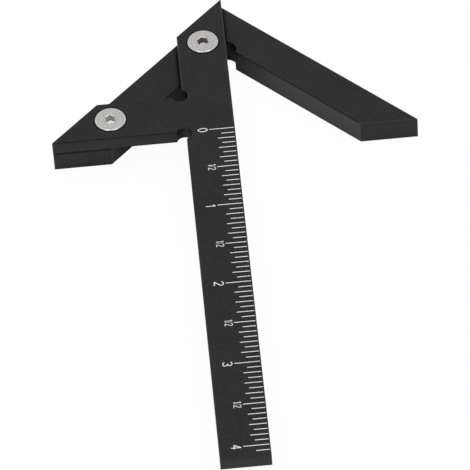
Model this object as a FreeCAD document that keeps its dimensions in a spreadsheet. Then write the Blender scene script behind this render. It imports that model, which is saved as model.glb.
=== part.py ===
import FreeCAD, Part
import math
import os

import Sketcher

# Center finder square: a flat plate with a graduated blade, screwed onto a 90 degree V fence.
# In the drawing's plan x = 0 is the blade's measuring edge, y = 0 is the scale's zero line,
# +Y points to the apex of the V and +Z is up. The placements move the zero line along Y, so
# that the part's origin is the centre of its footprint, on the surface that it lies on.

doc = FreeCAD.newDocument("center_finder_square")

# Driving dimensions, in millimetres and degrees

SIZES = [
    ("head_reach", 45.0, "zero line to tip, and measuring edge to the end of each arm"),
    ("blade_reach", 105.0, "zero line to the blade's end"),
    ("blade_width", 12.0, "measuring edge to the blade's back edge"),
    ("arm_width", 12.0, "front to back of the plate's left arm"),
    ("arm_point_flat", 0.3, "flat that blunts the pointed end of the plate's left arm"),
    ("plate_thickness", 3.7, "thickness of the plate"),
    ("plate_chamfer", 0.2, "broken edges of the plate"),
    ("corner_relief_radius", 1.85, "relief holes in the plate's two inner corners"),
    ("corner_relief_out", 0.55, "how far these stand off the blade's back edge"),
    ("corner_relief_lift", 0.45, "how far they stand off the arm's front and back edges"),
    ("fence_thickness", 6.5, "thickness of the V fence"),
    ("fence_arm_width", 10.0, "width of each arm of the V, square to the arm"),
    ("fence_setback", 0.8, "how far the fence stands back from the zero line"),
    ("fence_chamfer", 0.15, "broken edges of the fence"),
    ("apex_relief_radius", 2.5, "relief hole in the inner corner of the V"),
    ("apex_relief_shift", 0.95, "how far it stands out of that corner"),
    ("screw_diameter", 4.0, "outer diameter of the screw's thread"),
    ("screw_pitch", 0.7, "pitch of the thread"),
    ("screw_length", 10.0, "top of the head to the screw's end"),
    ("plain_shank", 0.7, "shank without thread, below the head's cone"),
    ("screw_point", 0.4, "chamfer at the screw's end"),
    ("head_diameter", 7.7, "diameter of the screw's head"),
    ("head_land", 0.55, "height of the straight rim above the head's cone"),
    ("head_bevel", 0.2, "bevel round the top of the head"),
    ("head_proud", 0.25, "how far the head stands above the plate"),
    ("socket_width", 2.5, "across the flats of the hex socket"),
    ("socket_depth", 1.9, "depth of the socket's flats"),
    ("socket_chamfer", 0.15, "chamfer round the socket's corners"),
    ("tip_socket_turn", 40.0, "turn of the tip screw's socket, degrees"),
    ("arm_socket_turn", 30.0, "turn of the arm screw's socket, degrees"),
    ("seat_clearance", 0.03, "between the head's cone and its seat"),
    ("thread_clearance", 0.03, "between the screw's thread and the fence's"),
    ("shank_clearance", 0.2, "round the screw in the plate"),
    ("tip_screw_inset", 5.6, "tip screw to the measuring edge"),
    ("tip_screw_depth", 9.0, "tip screw to the 45 degree cut, along the blade"),
    ("arm_screw_inset", 6.4, "arm screw to the zero line"),
    ("arm_screw_depth", 8.35, "arm screw to the 45 degree cut, along the arm"),
    ("graduation", 25.4 / 16, "distance from line to line"),
    ("line_width", 0.2, "width of a graduation line"),
    ("mark_depth", 0.1, "depth of the engraving"),
    ("line_inset", 0.3, "measuring edge to the start of each line"),
    ("inch_line", 6.3, "measuring edge to the far end of a whole-inch line"),
    ("half_line", 5.35, "the same for a half-inch line"),
    ("eighth_line", 4.45, "the same for quarters and eighths"),
    ("sixteenth_line", 3.45, "the same for sixteenths"),
    ("blank_end", 1.0, "least distance from the last line to the blade's end"),
    ("numeral_gap", 0.45, "end of a whole-inch line to its number"),
    ("fraction_gap", 0.35, "end of a half-inch line to its fraction"),
    ("numeral_height", 2.4, "height of the whole numbers"),
    ("fraction_height", 1.9, "height of the fractions"),
    ("numeral_stroke", 0.22, "stroke of the whole numbers"),
    ("fraction_stroke", 0.16, "stroke of the fractions"),
    ("fraction_bowl", 0.32, "radius of the bowl of the fractions' 2"),
    ("letter_space", 0.14, "space between the characters of a fraction"),
]

sheet = doc.addObject("Spreadsheet::Sheet", "Sizes")
for row, (alias, value, meaning) in enumerate(SIZES, 1):
    sheet.set(f"A{row}", alias)
    sheet.set(f"B{row}", str(value))
    sheet.set(f"C{row}", meaning)
    sheet.setAlias(f"B{row}", alias)
doc.recompute()


class Size:
    """A formula on the sheet's cells, with its present value."""

    def __init__(self, formula, value):
        self.formula = formula
        self.value = value

    def __add__(self, other):
        other = as_size(other)
        return Size(f"({self.formula} + {other.formula})", self.value + other.value)

    def __sub__(self, other):
        other = as_size(other)
        return Size(f"({self.formula} - {other.formula})", self.value - other.value)

    def __mul__(self, other):
        other = as_size(other)
        return Size(f"({self.formula} * {other.formula})", self.value * other.value)

    def __truediv__(self, other):
        other = as_size(other)
        return Size(f"({self.formula} / {other.formula})", self.value / other.value)

    def __neg__(self):
        return Size(f"(0 - {self.formula})", -self.value)


def as_size(number):
    return number if isinstance(number, Size) else Size(str(number), number)


def cell(alias):
    return Size(f"Sizes.{alias}", sheet.get(alias))


def bind(thing, name, size):
    """Ties one property of an object to the sheet."""
    thing.setExpression(name, as_size(size).formula)


head_reach = cell("head_reach")
blade_reach = cell("blade_reach")
blade_width = cell("blade_width")
arm_width = cell("arm_width")
arm_point_flat = cell("arm_point_flat")
plate_thickness = cell("plate_thickness")
fence_thickness = cell("fence_thickness")
fence_setback = cell("fence_setback")
screw_radius = cell("screw_diameter") / 2
head_radius = cell("head_diameter") / 2
screw_pitch = cell("screw_pitch")
screw_length = cell("screw_length")
thread_clearance = cell("thread_clearance")
mark_depth = cell("mark_depth")
screw_top = fence_thickness + plate_thickness + cell("head_proud")

# A metric thread has 60 degree flanks, and a flat of an eighth of the pitch on the screw's
# ridge. Its depths are fixed shares of the pitch: the screw's groove, and the nut's ridge.
flank_slope = math.tan(math.radians(30))
ridge_flat_half = screw_pitch / 16
screw_root_radius = screw_radius - screw_pitch * 0.6134
nut_bore_radius = screw_radius - screw_pitch * 0.5413

# The V's arms are cut along the zero line, so their width there is longer by the root of two.
inner_reach = head_reach - cell("fence_arm_width") * math.sqrt(2)
zero_line = (blade_reach - head_reach - fence_setback) / 2
tip_screw_place = (
    -cell("tip_screw_inset"),
    head_reach - cell("tip_screw_inset") - cell("tip_screw_depth"),
)
arm_screw_place = (
    -(head_reach - cell("arm_screw_inset") - cell("arm_screw_depth")),
    cell("arm_screw_inset"),
)


# Sketches and features


def new_body(name):
    return doc.addObject("PartDesign::Body", name)


def new_sketch(body, name, plane="XY_Plane", height=0):
    """A sketch on one of the body's own origin planes, or above it by height."""
    sketch = body.newObject("Sketcher::SketchObject", name)
    support = [part for part in body.Origin.OriginFeatures if part.Role == plane]
    sketch.AttachmentSupport = (support[0], [""])
    sketch.MapMode = "FlatFace"
    bind(sketch, "AttachmentOffset.Base.z", height)
    return sketch


def pin(sketch, geometry, point, x, y):
    """Fixes one point of a sketch at its two distances from the sketch's origin."""
    for direction, size in (("DistanceX", as_size(x)), ("DistanceY", as_size(y))):
        index = sketch.addConstraint(
            Sketcher.Constraint(direction, -1, 1, geometry, point, size.value)
        )
        sketch.setExpression(f"Constraints[{index}]", size.formula)


def draw_outline(sketch, corners):
    """Straight lines from corner to corner, closed."""
    corners = [(as_size(x), as_size(y)) for x, y in corners]
    points = [FreeCAD.Vector(x.value, y.value, 0) for x, y in corners]
    first = sketch.GeometryCount
    count = len(points)
    for i in range(count):
        sketch.addGeometry(Part.LineSegment(points[i], points[(i + 1) % count]), False)
    for i in range(count):
        following = first + (i + 1) % count
        sketch.addConstraint(
            Sketcher.Constraint("Coincident", first + i, 2, following, 1)
        )
        pin(sketch, first + i, 1, *corners[i])


def draw_circle(sketch, x, y, radius):
    x, y, radius = as_size(x), as_size(y), as_size(radius)
    centre = FreeCAD.Vector(x.value, y.value, 0)
    circle = Part.Circle(centre, FreeCAD.Vector(0, 0, 1), radius.value)
    geometry = sketch.addGeometry(circle, False)
    index = sketch.addConstraint(Sketcher.Constraint("Radius", geometry, radius.value))
    sketch.setExpression(f"Constraints[{index}]", radius.formula)
    pin(sketch, geometry, 3, x, y)


def add_pad(body, sketch, name, height):
    pad = body.newObject("PartDesign::Pad", name)
    pad.Profile = sketch
    bind(pad, "Length", height)
    doc.recompute()
    return pad


def cut_through(body, sketch, name):
    """Cuts the sketch's profile right through the body, above and below its plane."""
    before = body.Shape.Volume
    pocket = body.newObject("PartDesign::Pocket", name)
    pocket.Profile = sketch
    pocket.Type = "ThroughAll"
    pocket.Midplane = True
    doc.recompute()
    if not body.Shape.Volume < before:
        raise RuntimeError(f"{name} cuts nothing")


def break_edges(body, name, size):
    """Chamfers every edge of the body's top and bottom faces."""
    blank = body.Tip
    shape = body.Shape
    low, high = shape.BoundBox.ZMin, shape.BoundBox.ZMax
    flats = []
    for number, face in enumerate(shape.Faces, 1):
        box = face.BoundBox
        level = box.ZMax - box.ZMin < 1e-6
        if level and min(abs(box.ZMin - low), abs(box.ZMin - high)) < 1e-6:
            flats.append(f"Face{number}")
    chamfer = body.newObject("PartDesign::Chamfer", name)
    chamfer.Base = (blank, flats)
    bind(chamfer, "Size", size)
    doc.recompute()


def turn(body, name, kind, corners):
    """Turns a half profile of (radius, height) corners about Z, to add or to cut."""
    before = body.Shape.Volume if kind == "PartDesign::Groove" else 0
    sketch = new_sketch(body, f"{name}_profile", "XZ_Plane")
    draw_outline(sketch, corners)
    feature = body.newObject(kind, name)
    feature.Profile = sketch
    feature.ReferenceAxis = (sketch, ["V_Axis"])
    feature.Angle = 360
    doc.recompute()
    if kind == "PartDesign::Groove" and not body.Shape.Volume < before:
        raise RuntimeError(f"{name} cuts nothing")


def cut_thread(body, name, x, y, corners, height):
    """Cuts a right-hand helical groove round the upright line at (x, y)."""
    before = body.Shape.Volume
    sketch = new_sketch(body, f"{name}_profile", "XZ_Plane", -as_size(y))
    bind(sketch, "AttachmentOffset.Base.x", x)
    draw_outline(sketch, corners)
    helix = body.newObject("PartDesign::SubtractiveHelix", name)
    helix.Profile = sketch
    helix.ReferenceAxis = (sketch, ["V_Axis"])
    helix.Mode = "pitch-height-angle"
    bind(helix, "Pitch", screw_pitch)
    bind(helix, "Height", height)
    doc.recompute()
    if not body.Shape.Volume < before:
        raise RuntimeError(f"{name} cuts nothing")


def place(thing, x, y, z):
    """Sets a piece of the drawing's plan in the part's frame."""
    bind(thing, "Placement.Base.x", x)
    bind(thing, "Placement.Base.y", as_size(y) + zero_line)
    bind(thing, "Placement.Base.z", z)


# V fence


def make_fence():
    body = new_body("v_fence")
    outline = new_sketch(body, "fence_outline")
    draw_outline(
        outline,
        [
            (head_reach, 0),
            (0, head_reach),
            (-head_reach, 0),
            (-inner_reach, 0),
            (0, inner_reach),
            (inner_reach, 0),
        ],
    )
    add_pad(body, outline, "fence_blank", fence_thickness)
    relief = new_sketch(body, "apex_relief_circle")
    relief_y = inner_reach - cell("apex_relief_shift")
    draw_circle(relief, 0, relief_y, cell("apex_relief_radius"))
    cut_through(body, relief, "apex_relief")
    break_edges(body, "fence_edges", cell("fence_chamfer"))
    holes = new_sketch(body, "tapped_hole_circles")
    for x, y in (tip_screw_place, arm_screw_place):
        draw_circle(holes, x, y - fence_setback, nut_bore_radius)
    cut_through(body, holes, "thread_bores")
    cut_fence_thread(body, "tip_thread", *tip_screw_place)
    cut_fence_thread(body, "arm_thread", *arm_screw_place)
    place(body, 0, fence_setback, 0)
    return body


def cut_fence_thread(body, name, x, y):
    """The groove that the screw's ridge runs in, half a pitch off the screw's own groove."""
    crest = screw_radius + thread_clearance
    crest_half = ridge_flat_half + thread_clearance * flank_slope
    inside = nut_bore_radius - thread_clearance
    inside_half = crest_half + (crest - inside) * flank_slope
    screw_end = screw_top - screw_length
    start = screw_end - screw_pitch * 2.5
    corners = [
        (inside, start - inside_half),
        (crest, start - crest_half),
        (crest, start + crest_half),
        (inside, start + inside_half),
    ]
    height = fence_thickness - start + screw_pitch
    cut_thread(body, name, x, y - fence_setback, corners, height)


# Blade plate, before its scale is engraved


def make_plate_blank():
    body = new_body("plate_blank")
    outline = new_sketch(body, "plate_outline")
    draw_outline(
        outline,
        [
            (0, -blade_reach),
            (0, head_reach),
            (-blade_width, head_reach - blade_width),
            (-blade_width, arm_width),
            (arm_width - head_reach - arm_point_flat, arm_width),
            (-head_reach, arm_point_flat),
            (-head_reach, 0),
            (-blade_width, 0),
            (-blade_width, -blade_reach),
        ],
    )
    add_pad(body, outline, "plate_flat", plate_thickness)
    reliefs = new_sketch(body, "corner_relief_circles")
    relief_x = -(blade_width + cell("corner_relief_out"))
    relief_lift = cell("corner_relief_lift")
    for y in (arm_width + relief_lift, -relief_lift):
        draw_circle(reliefs, relief_x, y, cell("corner_relief_radius"))
    cut_through(body, reliefs, "corner_reliefs")
    break_edges(body, "plate_edges", cell("plate_chamfer"))
    circles = new_sketch(body, "screw_hole_circles", "XY_Plane", plate_thickness)
    shank_hole = screw_radius + cell("shank_clearance")
    for x, y in (tip_screw_place, arm_screw_place):
        draw_circle(circles, x, y, shank_hole)
    before = body.Shape.Volume
    holes = body.newObject("PartDesign::Hole", "screw_holes")
    holes.Profile = circles
    doc.recompute()
    holes.Threaded = False
    holes.DepthType = "ThroughAll"
    holes.HoleCutType = "Countersink"
    holes.HoleCutCustomValues = True
    holes.HoleCutCountersinkAngle = 90
    bind(holes, "Diameter", shank_hole * 2)
    seat_radius = head_radius + cell("head_land") - cell("head_proud")
    bind(holes, "HoleCutDiameter", (seat_radius + cell("seat_clearance")) * 2)
    doc.recompute()
    if not body.Shape.Volume < before:
        raise RuntimeError("the screw holes cut nothing")
    place(body, 0, 0, fence_thickness)
    return body


# Countersunk screw, drawn with the centre of its head's top at the origin


def make_screw(name, spot, socket_turn):
    body = new_body(name)
    cone_foot = cell("head_land") + head_radius - screw_radius
    turn(
        body,
        f"{name}_blank",
        "PartDesign::Revolution",
        [
            (0, 0),
            (head_radius - cell("head_bevel"), 0),
            (head_radius, -cell("head_bevel")),
            (head_radius, -cell("head_land")),
            (screw_radius, -cone_foot),
            (screw_radius, cell("screw_point") - screw_length),
            (screw_radius - cell("screw_point"), -screw_length),
            (0, -screw_length),
        ],
    )
    start = -(screw_length + screw_pitch)
    root_half = screw_pitch / 2 - ridge_flat_half
    root_half = root_half - (screw_radius - screw_root_radius) * flank_slope
    outside = screw_radius + thread_clearance
    outside_half = root_half + (outside - screw_root_radius) * flank_slope
    corners = [
        (screw_root_radius, start - root_half),
        (outside, start - outside_half),
        (outside, start + outside_half),
        (screw_root_radius, start + root_half),
    ]
    threaded = screw_length - cone_foot - cell("plain_shank")
    cut_thread(body, f"{name}_thread", 0, 0, corners, threaded + screw_pitch)
    corner_radius = cell("socket_width") / math.sqrt(3)
    hexagon = new_sketch(body, f"{name}_hexagon")
    bind(hexagon, "AttachmentOffset.Rotation.Angle", cell(socket_turn))
    corners = []
    for i in range(6):
        angle = math.radians(60 * i)
        corners.append((corner_radius * math.cos(angle), corner_radius * math.sin(angle)))
    draw_outline(hexagon, corners)
    before = body.Shape.Volume
    socket = body.newObject("PartDesign::Pocket", f"{name}_socket")
    socket.Profile = hexagon
    bind(socket, "Length", cell("socket_depth"))
    doc.recompute()
    if not body.Shape.Volume < before:
        raise RuntimeError(f"{name}: the socket cuts nothing")
    mouth = cell("socket_chamfer")
    turn(
        body,
        f"{name}_socket_mouth",
        "PartDesign::Groove",
        [(0, 0), (corner_radius + mouth, 0), (corner_radius, -mouth), (0, -mouth)],
    )
    floor_radius = cell("socket_width") / 2
    floor = -cell("socket_depth")
    turn(
        body,
        f"{name}_socket_floor",
        "PartDesign::Groove",
        [(0, floor), (floor_radius, floor), (0, floor - floor_radius / math.sqrt(3))],
    )
    place(body, *spot, screw_top)
    return body


# Graduation lines: each kind starts at one sixteenth and repeats every so many

LINE_KINDS = [
    ("inch", 0, 16, cell("inch_line")),
    ("half", 8, 16, cell("half_line")),
    ("quarter", 4, 8, cell("eighth_line")),
    ("eighth", 2, 4, cell("eighth_line")),
    ("sixteenth", 1, 2, cell("sixteenth_line")),
]


def line_count(first, step):
    """How many lines of one kind fit on the blade."""
    room = blade_reach - cell("blank_end") - cell("graduation") * first
    steps = room / (cell("graduation") * step)
    return Size(f"(floor({steps.formula}) + 1)", math.floor(steps.value) + 1)


def make_scale_lines():
    body = new_body("scale_lines")
    body.AllowCompound = True
    down_the_blade = [
        part for part in body.Origin.OriginFeatures if part.Role == "Y_Axis"
    ]
    half_width = cell("line_width") / 2
    for kind, first, step, far_end in LINE_KINDS:
        sketch = new_sketch(
            body, f"{kind}_line_outline", "XY_Plane", plate_thickness - mark_depth
        )
        y = -cell("graduation") * first
        draw_outline(
            sketch,
            [
                (-far_end, y - half_width),
                (-cell("line_inset"), y - half_width),
                (-cell("line_inset"), y + half_width),
                (-far_end, y + half_width),
            ],
        )
        pad = add_pad(body, sketch, f"{kind}_line", mark_depth)
        row = body.newObject("PartDesign::LinearPattern", f"{kind}_lines")
        row.Originals = [pad]
        row.Direction = (down_the_blade[0], [""])
        row.Reversed = True
        row.Mode = "Spacing"
        bind(row, "Offset", cell("graduation") * step)
        bind(row, "Occurrences", line_count(first, step))
        body.Tip = row
        doc.recompute()
    place(body, 0, 0, fence_thickness)
    return body


# Numerals: strokes of one width with round ends, drawn upright with the foot of the first
# stroke's centre line at (0, 0), then turned so that their tops point at the measuring edge


def straight_stroke(start, end, width):
    x, y = end[0] - start[0], end[1] - start[1]
    length = math.hypot(x, y)
    side_x, side_y = -y / length * width / 2, x / length * width / 2
    ahead_x, ahead_y = x / length * width / 2, y / length * width / 2
    a = FreeCAD.Vector(start[0] + side_x, start[1] + side_y, 0)
    b = FreeCAD.Vector(start[0] - ahead_x, start[1] - ahead_y, 0)
    c = FreeCAD.Vector(start[0] - side_x, start[1] - side_y, 0)
    d = FreeCAD.Vector(end[0] - side_x, end[1] - side_y, 0)
    e = FreeCAD.Vector(end[0] + ahead_x, end[1] + ahead_y, 0)
    f = FreeCAD.Vector(end[0] + side_x, end[1] + side_y, 0)
    edges = [
        Part.Arc(a, b, c).toShape(),
        Part.LineSegment(c, d).toShape(),
        Part.Arc(d, e, f).toShape(),
        Part.LineSegment(f, a).toShape(),
    ]
    return Part.Face(Part.Wire(edges))


def on_circle(centre, radius, angle):
    return FreeCAD.Vector(
        centre[0] + radius * math.cos(math.radians(angle)),
        centre[1] + radius * math.sin(math.radians(angle)),
        0,
    )


def arc_stroke(centre, radius, start, end, width):
    """A stroke along an arc, anticlockwise from the start angle to the end angle."""
    inner, outer = radius - width / 2, radius + width / 2
    middle = (start + end) / 2
    foot = on_circle(centre, radius, start)
    head = on_circle(centre, radius, end)
    edges = [
        Part.Arc(
            on_circle(centre, outer, start),
            on_circle(centre, outer, middle),
            on_circle(centre, outer, end),
        ).toShape(),
        Part.Arc(
            on_circle(centre, outer, end),
            on_circle(head, width / 2, end + 90),
            on_circle(centre, inner, end),
        ).toShape(),
        Part.Arc(
            on_circle(centre, inner, end),
            on_circle(centre, inner, middle),
            on_circle(centre, inner, start),
        ).toShape(),
        Part.Arc(
            on_circle(centre, inner, start),
            on_circle(foot, width / 2, start - 90),
            on_circle(centre, outer, start),
        ).toShape(),
    ]
    return Part.Face(Part.Wire(edges))


def oval_stroke(centre, half_width, half_height, width):
    """A closed oval stroke, taller than it is wide."""
    rings = []
    for grow in (width / 2, -width / 2):
        ellipse = Part.Ellipse(
            FreeCAD.Vector(0, 0, 0), half_height + grow, half_width + grow
        )
        ring = Part.Wire(ellipse.toShape())
        ring.rotate(FreeCAD.Vector(0, 0, 0), FreeCAD.Vector(0, 0, 1), 90)
        ring.translate(FreeCAD.Vector(centre[0], centre[1], 0))
        rings.append(ring)
    return Part.Face(rings[0]).cut(Part.Face(rings[1]))


def tangent_angle(centre, radius, point, side):
    """Where a line from the point touches the circle, on the side given by +1 or -1."""
    x, y = point[0] - centre[0], point[1] - centre[1]
    lean = math.degrees(math.acos(radius / math.hypot(x, y)))
    return math.degrees(math.atan2(y, x)) + side * lean


def character_strokes(character, height, bowl, width):
    """The strokes of one character, and the width between its outer centre lines."""
    strokes = []

    def line(*ends):
        strokes.append(straight_stroke(*ends, width))

    def arc(centre, radius, start, end):
        strokes.append(arc_stroke(centre, radius, start, end, width))

    across = 2 * bowl
    if character == "0":
        strokes.append(oval_stroke((bowl, height / 2), bowl, height / 2, width))
    if character == "1":
        across = 0.75 * bowl
        line((across, 0), (across, height))
        line((across, height), (0, height - across))
    if character == "2":
        centre = (bowl, height - bowl)
        touch = tangent_angle(centre, bowl, (0, 0), 1)
        end = on_circle(centre, bowl, touch)
        arc(centre, bowl, touch, 165)
        line((end.x, end.y), (0, 0))
        line((0, 0), (across, 0))
    if character == "3":
        arc((bowl, height - bowl), bowl, -90, 155)
        arc((bowl, bowl), bowl, -155, 90)
    if character == "4":
        stem, bar = 1.5 * bowl, 1.15 * bowl
        line((stem, 0), (stem, height))
        line((stem, height), (0, bar))
        line((0, bar), (across, bar))
    if character == "5":
        line((across, height), (0.2 * bowl, height))
        line((0.2 * bowl, height), (0, 1.9 * bowl))
        arc((bowl, 1.15 * bowl), 1.15 * bowl, -150, 140)
    if character == "6":
        centre = (bowl, bowl)
        touch = tangent_angle(centre, bowl, (1.4 * bowl, height), 1)
        end = on_circle(centre, bowl, touch)
        arc(centre, bowl, 0, 180)
        arc(centre, bowl, 180, 360)
        line((end.x, end.y), (1.4 * bowl, height))
    if character == "7":
        line((0, height), (across, height))
        line((across, height), (0.5 * bowl, 0))
    if character == "8":
        for centre in ((bowl, bowl), (bowl, height - bowl)):
            arc(centre, bowl, 0, 180)
            arc(centre, bowl, 180, 360)
    if character == "9":
        centre = (bowl, height - bowl)
        touch = tangent_angle(centre, bowl, (0.6 * bowl, 0), 1)
        end = on_circle(centre, bowl, touch)
        arc(centre, bowl, 0, 180)
        arc(centre, bowl, 180, 360)
        line((end.x, end.y), (0.6 * bowl, 0))
    if character == "/":
        across = 0.8 * bowl
        line((0, 0), (across, height))
    return strokes, across


def engrave_text(text, height, bowl, width, top_x, middle_y):
    """Solids of a text whose top is at top_x and whose middle is on the line at middle_y."""
    depth = mark_depth.value
    letters = []
    start = 0
    for character in text:
        strokes, across = character_strokes(character, height, bowl, width)
        solids = [stroke.extrude(FreeCAD.Vector(0, 0, depth)) for stroke in strokes]
        letter = solids[0].multiFuse(solids[1:]) if len(solids) > 1 else solids[0]
        letter.translate(FreeCAD.Vector(start, 0, 0))
        letters.append(letter)
        start += across + width + cell("letter_space").value
    centre_line_width = start - width - cell("letter_space").value
    foot_x = top_x - height - width / 2
    for letter in letters:
        letter.rotate(FreeCAD.Vector(0, 0, 0), FreeCAD.Vector(0, 0, 1), -90)
        letter.translate(FreeCAD.Vector(foot_x, middle_y + centre_line_width / 2, 0))
    return letters


def make_scale_numerals():
    inch = 16 * cell("graduation").value
    texts = []
    width = cell("numeral_stroke").value
    height = cell("numeral_height").value - width
    top_x = -(cell("inch_line") + cell("numeral_gap")).value
    for number in range(int(line_count(0, 16).value)):
        middle_y = -inch * number
        texts += engrave_text(str(number), height, height / 4, width, top_x, middle_y)
    width = cell("fraction_stroke").value
    height = cell("fraction_height").value - width
    bowl = cell("fraction_bowl").value
    top_x = -(cell("half_line") + cell("fraction_gap")).value
    for number in range(int(line_count(8, 16).value)):
        middle_y = -inch * (number + 0.5)
        texts += engrave_text("1/2", height, bowl, width, top_x, middle_y)
    feature = doc.addObject("Part::Feature", "scale_numerals")
    solids = [solid for text in texts for solid in text.Solids]
    feature.Shape = Part.Compound(solids)
    place(feature, 0, 0, fence_thickness + plate_thickness - mark_depth)
    return feature


# The scale is engraved by cutting its filling out of the plate


def engrave_plate(blank, marks):
    engraving = doc.addObject("Part::Compound", "engraving")
    engraving.Links = marks
    plate = doc.addObject("Part::Cut", "blade_plate")
    plate.Base = blank
    plate.Tool = engraving
    return plate


def write_parts(subparts):
    doc.recompute()
    failed = []
    for thing in doc.Objects:
        if "Invalid" in thing.State or "Error" in thing.State:
            failed.append(thing.Label)
    for thing in subparts:
        if thing.Shape.isNull() or not thing.Shape.isValid() or not thing.Shape.Solids:
            failed.append(thing.Label)
    if failed:
        raise RuntimeError(f"failed: {failed}")
    os.makedirs("parts", exist_ok=True)
    for thing in subparts:
        thing.Shape.exportStep(f"parts/{thing.Label}.step")
        box = thing.Shape.BoundBox
        print(
            f"{thing.Label}: {len(thing.Shape.Solids)} solids, {thing.Shape.Volume:.2f} mm3,"
            f" x {box.XMin:.2f} to {box.XMax:.2f}, y {box.YMin:.2f} to {box.YMax:.2f},"
            f" z {box.ZMin:.2f} to {box.ZMax:.2f}"
        )


v_fence = make_fence()
plate_blank = make_plate_blank()
tip_screw = make_screw("tip_screw", tip_screw_place, "tip_socket_turn")
arm_screw = make_screw("arm_screw", arm_screw_place, "arm_socket_turn")
scale_lines = make_scale_lines()
scale_numerals = make_scale_numerals()
doc.recompute()
blade_plate = engrave_plate(plate_blank, [scale_lines, scale_numerals])
write_parts([blade_plate, v_fence, tip_screw, arm_screw, scale_lines, scale_numerals])
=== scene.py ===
import math

import bpy
from mathutils import Matrix, Vector


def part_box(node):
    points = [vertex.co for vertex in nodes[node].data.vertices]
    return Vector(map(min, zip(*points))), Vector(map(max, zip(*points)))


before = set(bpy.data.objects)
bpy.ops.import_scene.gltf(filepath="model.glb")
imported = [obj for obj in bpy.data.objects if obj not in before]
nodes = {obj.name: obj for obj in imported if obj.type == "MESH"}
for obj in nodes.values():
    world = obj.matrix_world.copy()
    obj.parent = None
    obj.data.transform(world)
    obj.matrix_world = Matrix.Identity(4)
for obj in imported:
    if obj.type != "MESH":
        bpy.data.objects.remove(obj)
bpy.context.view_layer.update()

# Lengths and places are in metres, noise scales are per metre, and colours are linear.


def new_object(name, data):
    made = bpy.data.objects.new(name, data)
    bpy.context.scene.collection.objects.link(made)
    return made


def assign(node, material):
    for holder in nodes[node].material_slots:
        holder.material = material


# Camera: fitted to the plate's and the fence's corners and to the graduation lines

IMAGE_SIDE = 470
FOCAL_PIXELS = 4659.39
SENSOR_MM = 36.0
CAMERA_PLACE = Vector((-0.02500, -0.76023, 0.83472))
IMAGE_RIGHT = Vector((0.99562, -0.08071, -0.04711))
IMAGE_DOWN = Vector((-0.09133, -0.73358, -0.67343))
CLIP_NEAR = 0.01
CLIP_FAR = 50.0


def add_camera():
    data = bpy.data.cameras.new("camera")
    data.sensor_width = SENSOR_MM
    data.lens = SENSOR_MM * FOCAL_PIXELS / IMAGE_SIDE
    data.clip_start = CLIP_NEAR
    data.clip_end = CLIP_FAR
    camera = new_object("camera", data)
    right = IMAGE_RIGHT.normalized()
    up = -(IMAGE_DOWN - right * IMAGE_DOWN.dot(right)).normalized()
    back = right.cross(up)
    turn = Matrix((right, up, back)).transposed().to_4x4()
    camera.matrix_world = Matrix.Translation(CAMERA_PLACE) @ turn
    bpy.context.scene.camera = camera


# Shader trees. In the functions below, m is the tree that they add to.
# The sockets of a colour mix go by number, because their names repeat.

MIX_FACTOR = 0
MIX_FIRST = 6
MIX_SECOND = 7
MIX_RESULT = 2
AO_SAMPLES = 16
NOISE_MEAN = 0.5


class ShaderTree:
    """Builds the shader nodes of a new material or world with short calls."""

    def __init__(self, owner):
        self.owner = owner
        owner.use_nodes = True
        self.tree = owner.node_tree
        self.tree.nodes.clear()

    def feed(self, node, socket, value):
        """Links or sets one input, given by its name or its number."""
        if isinstance(value, bpy.types.NodeSocket):
            self.tree.links.new(value, node.inputs[socket])
        else:
            node.inputs[socket].default_value = value

    def add(self, kind, *values, settings=None, **named):
        """Adds a node and feeds its first inputs in turn and others by name, with _ for a space."""
        node = self.tree.nodes.new(kind)
        for setting, choice in (settings or {}).items():
            setattr(node, setting, choice)
        for number, value in enumerate(values):
            self.feed(node, number, value)
        for name, value in named.items():
            self.feed(node, name.replace("_", " "), value)
        return node

    def finish(self, shader, output="ShaderNodeOutputMaterial"):
        self.add(output, Surface=shader.outputs[0])
        return self.owner


def new_material(name):
    return ShaderTree(bpy.data.materials.new(name))


def place_of(m):
    return m.add("ShaderNodeTexCoord").outputs["Object"]


def true_normal(m):
    return m.add("ShaderNodeNewGeometry").outputs["True Normal"]


def coordinate(m, vector, axis):
    return m.add("ShaderNodeSeparateXYZ", vector).outputs[axis]


def maths(m, operation, *values):
    return m.add("ShaderNodeMath", *values, settings={"operation": operation}).outputs["Value"]


def vector_maths(m, operation, *values):
    return m.add("ShaderNodeVectorMath", *values, settings={"operation": operation}).outputs


def levelness(m):
    """1 on a level face and 0 on a wall."""
    return maths(m, "ABSOLUTE", coordinate(m, true_normal(m), "Z"))


def noise(m, place, scale, detail=2.0, roughness=0.6):
    node = m.add("ShaderNodeTexNoise", Vector=place, Scale=scale, Detail=detail, Roughness=roughness)
    return node.outputs["Fac"]


def spread(m, value, low, high, to_low, to_high, curve="LINEAR"):
    """Maps low..high to to_low..to_high, and holds what lies beyond at the ends."""
    node = m.add("ShaderNodeMapRange", settings={"interpolation_type": curve})
    m.feed(node, "Value", value)
    m.feed(node, "From Min", low)
    m.feed(node, "From Max", high)
    m.feed(node, "To Min", to_low)
    m.feed(node, "To Max", to_high)
    return node.outputs["Result"]


def stray_spread(m, grain, stray, to_low, to_high, mean=NOISE_MEAN):
    """Maps a noise to to_low..to_high, as it strays from one side of its mean to the other."""
    return spread(m, grain, mean - stray, mean + stray, to_low, to_high)


def grey(value, warmth=0.0):
    return (value * (1 + warmth), value, value * (1 - warmth), 1.0)


def mix_colour(m, factor, first, second):
    node = m.add("ShaderNodeMix", settings={"data_type": "RGBA"})
    m.feed(node, MIX_FACTOR, factor)
    m.feed(node, MIX_FIRST, first)
    m.feed(node, MIX_SECOND, second)
    return node.outputs[MIX_RESULT]


def mix_shaders(m, factor, first, second):
    return m.add("ShaderNodeMixShader", factor, first.outputs[0], second.outputs[0])


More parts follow.
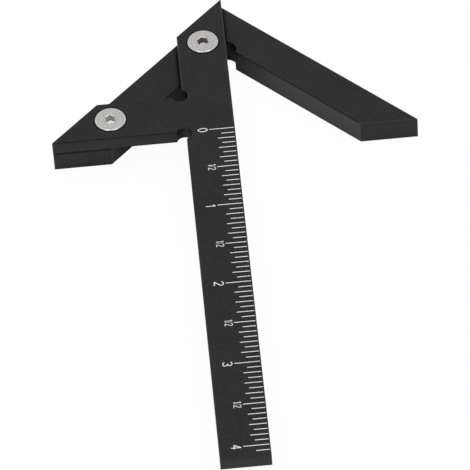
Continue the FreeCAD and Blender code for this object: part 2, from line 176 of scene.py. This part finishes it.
def bumped(m, height, strength, depth, **under):
    node = m.add("ShaderNodeBump", Height=height, Strength=strength, Distance=depth, **under)
    return node.outputs["Normal"]


# Anodised aluminium of the plate and the fence

CHAMFER_LEVEL = math.sqrt(0.5)
CHAMFER_MARGIN = 0.2
# Where the free ends' broken edges are painted paler, as a painted highlight and wear
END_BAND = 0.0006
BLADE_END_HIGHLIGHT_AND_WEAR = 0.5
# Where the painted shade falls: occlusion that leans skyward, within a reach, between two levels of
# openness
SKYWARD = (0.0, 0.0, 0.98)
CREVICE_REACH = 0.0016
CREVICE_AIR = 0.69
OPEN_AIR = 0.87

BLAST_SCALE = 5200.0
BLAST_DETAIL = 3.0
BLAST_SHARE = 0.3
MOTTLE_SCALE = 1500.0
MOTTLE_SHARE = 0.5
FINE_STRAY = 0.2
CLOUD_SCALE = 90.0
CLOUD_DETAIL = 3.0
CLOUD_ROUGHNESS = 0.55
CLOUD_SHARE = 0.2
CLOUD_STRAY = 0.15
BLAST_BUMP = 0.2
BLAST_DEPTH = 0.00002

ANODISED_DARK = grey(0.006)
ANODISED_PALE = grey(0.013)
# Painted shade: the colour, and below it the gloss, that crevices and joints take in place of their
# shadow
PAINTED_SHADE_DARK = grey(0.002)
# Painted highlight and wear: the paler colour of the broken edges at the two free ends
EDGE_HIGHLIGHT_AND_WEAR = grey(0.045)
ANODISED_SPECULAR = 0.30
GLOSS_DULL = grey(0.62)
GLOSS_BRIGHT = grey(0.98)
PAINTED_SHADE_GLOSS = grey(0.1)
GLOSS_NONE = grey(0.0)
SATIN_SMOOTH = 0.30
SATIN_ROUGH = 0.40

# What share of the flats' roughness and gloss the broken edges have
EDGE_ROUGHNESS = 0.8
PLATE_EDGE_GLOSS = 1.0
FENCE_EDGE_GLOSS = 0.5


def on_chamfers(m):
    """1 on the broken edges, whose faces lean 45 degrees, and 0 on the flats and walls."""
    return maths(m, "COMPARE", levelness(m), CHAMFER_LEVEL, CHAMFER_MARGIN)


def on_ends(m, place):
    """1 at the end of the fence's right arm, less at the blade's end, and 0 elsewhere, for the
    painted highlight and wear.
    """
    along = coordinate(m, place, "Y")
    across = coordinate(m, place, "X")
    at_arm_end = maths(m, "LESS_THAN", along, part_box("v_fence")[0].y + END_BAND)
    on_right = maths(m, "GREATER_THAN", across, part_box("blade_plate")[1].x + END_BAND)
    at_blade_end = maths(m, "LESS_THAN", along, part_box("blade_plate")[0].y + END_BAND)
    blade_wear = maths(m, "MULTIPLY", at_blade_end, BLADE_END_HIGHLIGHT_AND_WEAR)
    return maths(m, "MAXIMUM", blade_wear, maths(m, "MULTIPLY", at_arm_end, on_right))


def painted_shade_openness(m):
    """0 in a crevice and 1 in the open, from how much stands above and in front of a point. It masks
    the painted shade.
    """
    skyward = vector_maths(m, "ADD", true_normal(m), SKYWARD)["Vector"]
    lean = vector_maths(m, "NORMALIZE", skyward)["Vector"]
    shade = m.add("ShaderNodeAmbientOcclusion", settings={"samples": AO_SAMPLES}, Normal=lean)
    m.feed(shade, "Distance", CREVICE_REACH)
    return spread(m, shade.outputs["AO"], CREVICE_AIR, OPEN_AIR, 0.0, 1.0)


def black_anodised(name, edge_gloss):
    """Blasted and black, with painted shade that darkens and dulls it in crevices, in joints and
    under the plate's overhang.
    The broken edges have the given share of the flats' gloss, and at the two free ends a painted
    highlight and wear make them paler."""
    m = new_material(name)
    place = place_of(m)
    blast = noise(m, place, BLAST_SCALE, BLAST_DETAIL)
    mottle = noise(m, place, MOTTLE_SCALE)
    cloud = noise(m, place, CLOUD_SCALE, CLOUD_DETAIL, CLOUD_ROUGHNESS)
    blast_part = stray_spread(m, blast, FINE_STRAY, 0.0, BLAST_SHARE)
    mottle_part = stray_spread(m, mottle, FINE_STRAY, 0.0, MOTTLE_SHARE)
    cloud_part = stray_spread(m, cloud, CLOUD_STRAY, 0.0, CLOUD_SHARE)
    tone = maths(m, "ADD", cloud_part, maths(m, "ADD", blast_part, mottle_part))

    # Painted shade: crevices, joints and the fence under the plate's overhang are darkened and
    # dulled
    unshaded = painted_shade_openness(m)
    broken = on_chamfers(m)
    # Painted highlight and wear on the broken edges at the free ends
    highlight_and_wear = maths(m, "MULTIPLY", broken, on_ends(m, place))
    colour = mix_colour(m, unshaded, PAINTED_SHADE_DARK, mix_colour(m, tone, ANODISED_DARK, ANODISED_PALE))
    gloss = mix_colour(m, tone, GLOSS_DULL, GLOSS_BRIGHT)
    gloss = mix_colour(m, maths(m, "MULTIPLY", broken, 1.0 - edge_gloss), gloss, GLOSS_NONE)
    satin = spread(m, tone, 0.0, 1.0, SATIN_SMOOTH, SATIN_ROUGH)
    smoother = spread(m, broken, 0.0, 1.0, 1.0, EDGE_ROUGHNESS)
    shader = m.add(
        "ShaderNodeBsdfPrincipled",
        Metallic=0.0,
        Base_Color=mix_colour(m, highlight_and_wear, colour, EDGE_HIGHLIGHT_AND_WEAR),
        Roughness=maths(m, "MULTIPLY", satin, smoother),
        Specular_IOR_Level=ANODISED_SPECULAR,
        Specular_Tint=mix_colour(m, unshaded, PAINTED_SHADE_GLOSS, gloss),
        Normal=bumped(m, blast, BLAST_BUMP, BLAST_DEPTH),
    )
    return m.finish(shader)


# Steel of the screws. The rings' waves are in radians per metre from the axis.

SOCKET_REACH = 0.0017
SOCKET_FROM = 0.00006
SOCKET_FULLY = 0.00014
WALL_LEVEL = 0.8
RIM_WIDTH = 0.00028
RIM_FADE = 0.0001
EDGE_RADIUS = 0.00012
EDGE_SAMPLES = 8

RING_WAVES = 52000.0
TRACK_SCALE = 2600.0
STEEL_GRAIN_SCALE = 3000.0
TURNED_STRAY = 0.25
SATIN_STRAY = 0.2
SOCKET_FLAT_STRAY = 0.15
TURNED_BUMP = 0.15
TURNED_DEPTH = 0.00001

STEEL_DULL = grey(0.44, 0.005)
STEEL_BRIGHT = grey(0.68, 0.01)
# Painted highlight: the paler steel of the head's rim
STEEL_RIM_HIGHLIGHT = grey(0.78, 0.01)
STEEL_SMOOTH = 0.26
STEEL_ROUGH = 0.36
SOCKET_ROUGHER = 0.2

# The hex sockets' colours: the darker, browner flats' dull and bright ones, and the bottom's
SOCKETS = {
    "tip_screw": (grey(0.05, 0.25), grey(0.5, 0.13), grey(0.62, 0.03)),
    "arm_screw": (grey(0.38, 0.05), grey(0.8, 0.03), grey(0.8, 0.02)),
}


def distance_from_axis(m, place, centre):
    """How far a point lies from the upright line through the centre."""
    offset = vector_maths(m, "SUBTRACT", place, centre)["Vector"]
    flat = vector_maths(m, "MULTIPLY", offset, (1.0, 1.0, 0.0))["Vector"]
    return vector_maths(m, "LENGTH", flat)["Value"]


def socket_colour(m, grain, dull, bright, bottom):
    """Darker and browner on the hex socket's flats, and plain on its bottom."""
    flats_colour = mix_colour(m, stray_spread(m, grain, SOCKET_FLAT_STRAY, 0.0, 1.0), dull, bright)
    return mix_colour(m, maths(m, "LESS_THAN", levelness(m), WALL_LEVEL), bottom, flats_colour)


def screw_steel(name, low, high, dull, bright, bottom):
    """Turned steel with a painted highlight on its rim and a darker, browner socket, for the screw
    in the box low to high.
    """
    centre = ((low.x + high.x) / 2, (low.y + high.y) / 2, 0.0)
    rim_start = (high.x - low.x) / 2 - RIM_WIDTH
    m = new_material(name)
    place = place_of(m)
    from_axis = distance_from_axis(m, place, centre)
    grain = noise(m, place, STEEL_GRAIN_SCALE)
    tracks = noise(m, from_axis, TRACK_SCALE)
    rings = maths(m, "SINE", maths(m, "MULTIPLY", from_axis, RING_WAVES))
    rounded = m.add("ShaderNodeBevel", settings={"samples": EDGE_SAMPLES}, Radius=EDGE_RADIUS)
    relief = maths(m, "ADD", rings, grain)

    height = coordinate(m, place, "Z")
    sunk = spread(m, height, high.z - SOCKET_FULLY, high.z - SOCKET_FROM, 1.0, 0.0)
    in_socket = maths(m, "MULTIPLY", sunk, maths(m, "LESS_THAN", from_axis, SOCKET_REACH))
    turning = maths(m, "ADD", tracks, grain)
    tone = stray_spread(m, turning, TURNED_STRAY, 0.0, 1.0, mean=2 * NOISE_MEAN)
    # Painted highlight: the rim is paler steel than the turned face
    on_rim_highlight = spread(m, from_axis, rim_start, rim_start + RIM_FADE, 0.0, 1.0)
    turned_with_rim_highlight = mix_colour(m, on_rim_highlight, mix_colour(m, tone, STEEL_DULL, STEEL_BRIGHT), STEEL_RIM_HIGHLIGHT)
    satin = stray_spread(m, grain, SATIN_STRAY, STEEL_SMOOTH, STEEL_ROUGH)
    shader = m.add(
        "ShaderNodeBsdfPrincipled",
        Metallic=1.0,
        Base_Color=mix_colour(m, in_socket, turned_with_rim_highlight, socket_colour(m, grain, dull, bright, bottom)),
        Roughness=maths(m, "ADD", satin, maths(m, "MULTIPLY", in_socket, SOCKET_ROUGHER)),
        Normal=bumped(m, relief, TURNED_BUMP, TURNED_DEPTH, Normal=rounded.outputs["Normal"]),
    )
    return m.finish(shader)


# White filling of the engraving

INCH = 0.0254
LINE_WIDTH = 0.0002
BAR_RISE = 0.0002
BAR_REACH = 0.00027
FILL_GRAIN_SCALE = 4000.0
FILL_BUMP = 0.2
FILL_DEPTH = 0.00001
FILL_DARK = grey(0.78)
FILL_PALE = grey(0.9)
FILL_THIN = grey(0.36)
FILL_ROUGHNESS = 0.7
FILL_SPECULAR = 0.3


def on_fraction_bars(m, place):
    """1 at the height of the fractions' bars, a little above each half-inch line."""
    zero_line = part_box("scale_lines")[1].y - LINE_WIDTH / 2
    bar = INCH / 2 - BAR_RISE
    from_zero = maths(m, "SUBTRACT", zero_line, coordinate(m, place, "Y"))
    inches = maths(m, "DIVIDE", from_zero, INCH)
    return maths(m, "COMPARE", maths(m, "FRACT", inches), bar / INCH, BAR_REACH / INCH)


def white_fill(name, thin_bars):
    """Matt and finely grained. Where there are thin bars, they hold less of it."""
    m = new_material(name)
    place = place_of(m)
    grain = noise(m, place, FILL_GRAIN_SCALE)
    colour = mix_colour(m, grain, FILL_DARK, FILL_PALE)
    if thin_bars:
        colour = mix_colour(m, on_fraction_bars(m, place), colour, FILL_THIN)
    shader = m.add(
        "ShaderNodeBsdfPrincipled",
        Metallic=0.0,
        Base_Color=colour,
        Roughness=FILL_ROUGHNESS,
        Specular_IOR_Level=FILL_SPECULAR,
        Normal=bumped(m, grain, FILL_BUMP, FILL_DEPTH),
    )
    return m.finish(shader)


# Floor, world and lamps

WHITE = grey(1.0)
FLOOR_SIDE = 6.0
FLOOR_GAP = 0.00005
TOUCH_REACH = 4 * FLOOR_GAP
FLOOR_WHITE = 0.95
FLOOR_GLOW = 0.96
SHADOW_REACH = 0.02
SHADOW_AIR = 0.4
CLEAR_AIR = 0.75
SHADOW_GLOW = 0.1
ROOM_FRONT = 0.3
ROOM_BACK = 0.76
ROOM_FADE = 0.4
LAMP_DISTANCE = 1.5

# Each lamp's name, azimuth from +X towards +Y and elevation in degrees, side, and radiance
LAMPS = [
    ("overhead", -90, 85, 1.8, 0.72),
    ("left", 175, 62, 1.2, 0.65),
    ("right", 5, 62, 1.2, 0.65),
    ("front_left", -123, 42, 0.6, 1.4),
    ("front_right", -57, 42, 0.6, 1.4),
]


def floor_paper():
    """White paper, seen brightened, so that only a faint shadow stays. Reflections keep more of the
    shadow. It is see-through from below, and for rays from the faces that lie on it, so that the
    underside can be seen and lit."""
    m = new_material("floor")
    paper = m.add("ShaderNodeBsdfDiffuse", Color=grey(FLOOR_WHITE))
    glow = m.add("ShaderNodeEmission", Color=WHITE, Strength=1.0)
    clear = m.add("ShaderNodeBsdfTransparent")
    shade = m.add("ShaderNodeAmbientOcclusion", settings={"samples": AO_SAMPLES})
    m.feed(shade, "Distance", SHADOW_REACH)
    lit = spread(m, shade.outputs["AO"], SHADOW_AIR, CLEAR_AIR, SHADOW_GLOW, 1.0)
    path = m.add("ShaderNodeLightPath").outputs
    mirrored = maths(m, "MAXIMUM", path["Is Glossy Ray"], path["Is Transmission Ray"])
    seen = maths(m, "MAXIMUM", path["Is Camera Ray"], maths(m, "MULTIPLY", mirrored, lit))
    upper = mix_shaders(m, maths(m, "MULTIPLY", seen, FLOOR_GLOW), paper, glow)
    touching = maths(m, "LESS_THAN", path["Ray Length"], TOUCH_REACH)
    below = m.add("ShaderNodeNewGeometry").outputs["Backfacing"]
    return m.finish(mix_shaders(m, maths(m, "MAXIMUM", touching, below), upper, clear))


def add_floor():
    half = FLOOR_SIDE / 2
    mesh = bpy.data.meshes.new("floor")
    corners = [(-half, -half), (half, -half), (half, half), (-half, half)]
    mesh.from_pydata([(x, y, -FLOOR_GAP) for x, y in corners], [], [(0, 1, 2, 3)])
    mesh.materials.append(floor_paper())
    floor = new_object("floor", mesh)


def light_world():
    """A pale room, dimmer on the camera's side, which the front chamfers mirror as dark lines."""
    world = bpy.data.worlds.new("studio")
    bpy.context.scene.world = world
    m = ShaderTree(world)
    toward_back = coordinate(m, m.add("ShaderNodeTexCoord").outputs["Generated"], "Y")
    strength = spread(m, toward_back, -ROOM_FADE, ROOM_FADE, ROOM_FRONT, ROOM_BACK, "SMOOTHSTEP")
    light = m.add("ShaderNodeBackground", Color=WHITE, Strength=strength)
    m.finish(light, "ShaderNodeOutputWorld")


def add_lamp(name, azimuth, elevation, side, radiance):
    """A square soft box that faces the middle of the scene."""
    data = bpy.data.lights.new(name, "AREA")
    data.shape = "SQUARE"
    data.size = side
    data.energy = radiance * math.pi * side ** 2
    lamp = new_object(name, data)
    around = math.radians(azimuth)
    up = math.radians(elevation)
    aim = Vector((math.cos(up) * math.cos(around), math.cos(up) * math.sin(around), math.sin(up)))
    lamp.location = aim * LAMP_DISTANCE
    lamp.rotation_mode = "QUATERNION"
    lamp.rotation_quaternion = (-aim).to_track_quat("-Z", "Y")


add_camera()
assign("blade_plate", black_anodised("plate_anodised", PLATE_EDGE_GLOSS))
assign("v_fence", black_anodised("fence_anodised", FENCE_EDGE_GLOSS))
for node, colours in SOCKETS.items():
    assign(node, screw_steel(f"{node}_steel", *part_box(node), *colours))
assign("scale_lines", white_fill("line_filling", False))
assign("scale_numerals", white_fill("numeral_filling", True))
add_floor()
light_world()
for lamp in LAMPS:
    add_lamp(*lamp)

bpy.context.scene.view_settings.view_transform = "Standard"
